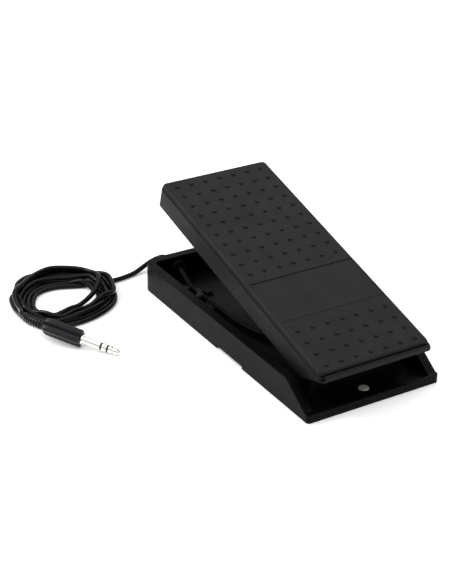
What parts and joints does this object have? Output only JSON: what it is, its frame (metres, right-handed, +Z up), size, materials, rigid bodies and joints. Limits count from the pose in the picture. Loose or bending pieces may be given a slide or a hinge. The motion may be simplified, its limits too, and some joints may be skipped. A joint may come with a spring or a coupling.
{
  "type": "rocker foot controller pedal",
  "caption": "Foot controller: a studded tread rocks on a heel axle over a shallow tray, gears a potentiometer, with a coiled fixed cord and stereo jack plug.",
  "frame": {"origin": "on the floor, under the middle of the pedal, cord and plug left out", "axes": "+X to the player's right, +Y to the toe end, +Z up"},
  "size_m": [0.2436, 0.3033, 0.099],
  "materials": {
    "moulding": "fine grained black moulding",
    "tread": "matt charcoal moulding",
    "rubber": "matt",
    "black_steel": "black satin coating",
    "zinc": "bright zinc plate",
    "nickel": "polished nickel plate",
    "nylon": "natural nylon",
    "felt": "pressed felt",
    "phenolic": "phenolic board",
    "cord": "smooth soft jacket",
    "plug": "satin moulding"
  },
  "bodies": {
    "base": {"axle_clip_left": "zinc", "axle_clip_right": "zinc", "base_tray": "moulding", "bottom_plate": "black_steel", "bottom_screw_1": "zinc", "bottom_screw_2": "zinc", "bottom_screw_3": "zinc", "bottom_screw_4": "zinc", "bracket_screw_left": "zinc", "bracket_screw_right": "zinc", "clip_screw": "zinc", "cord_coil": "cord", "cord_gland": "rubber", "cord_lead": "cord", "cord_tail": "cord", "floor_rivet": "zinc", "friction_washer_left": "felt", "friction_washer_right": "felt", "inner_lead": "cord", "lead_clip": "zinc", "pivot_axle": "zinc", "pivot_bracket": "black_steel", "plug_boot": "plug", "plug_grip": "plug", "plug_insulator_front": "rubber", "plug_insulator_rear": "rubber", "plug_ring": "nickel", "plug_sleeve": "nickel", "plug_tip": "nickel", "pot_body": "zinc", "pot_bracket": "zinc", "pot_nut": "zinc", "pot_screw_1": "zinc", "pot_screw_2": "zinc", "pot_terminals": "phenolic", "pot_washer": "zinc", "rubber_foot_1": "rubber", "rubber_foot_2": "rubber", "rubber_foot_3": "rubber", "rubber_foot_4": "rubber", "spring_washer_left": "zinc", "spring_washer_right": "zinc", "toe_bumper_left": "rubber", "toe_bumper_right": "rubber"},
    "treadle": {"pivot_bush_left": "nylon", "pivot_bush_right": "nylon", "sector_gear": "nylon", "sector_screw_1": "zinc", "sector_screw_2": "zinc", "tread_plate": "tread", "tread_screw_1": "zinc", "tread_screw_2": "zinc", "tread_screw_3": "zinc", "tread_screw_4": "zinc", "tread_screw_5": "zinc", "tread_screw_6": "zinc", "treadle_frame": "moulding"},
    "pot_rotor": {"pot_shaft": "zinc", "pinion": "nylon"}
  },
  "joints": [
    {"name": "treadle_hinge", "type": "hinge", "parent": "base", "child": "treadle", "pos_m": [0, -0.09275, 0.03276], "axis": [1, 0, 0], "range_deg": [-13.9, 0]},
    {"name": "pot_spin", "type": "hinge", "parent": "base", "child": "pot_rotor", "pos_m": [0.02, -0.03372, 0.022], "axis": [1, 0, 0], "range_deg": [0, 125.1]}
  ],
  "couplings": [
    {"joint": "pot_spin", "follows": "treadle_hinge", "ratio": -9}
  ]
}
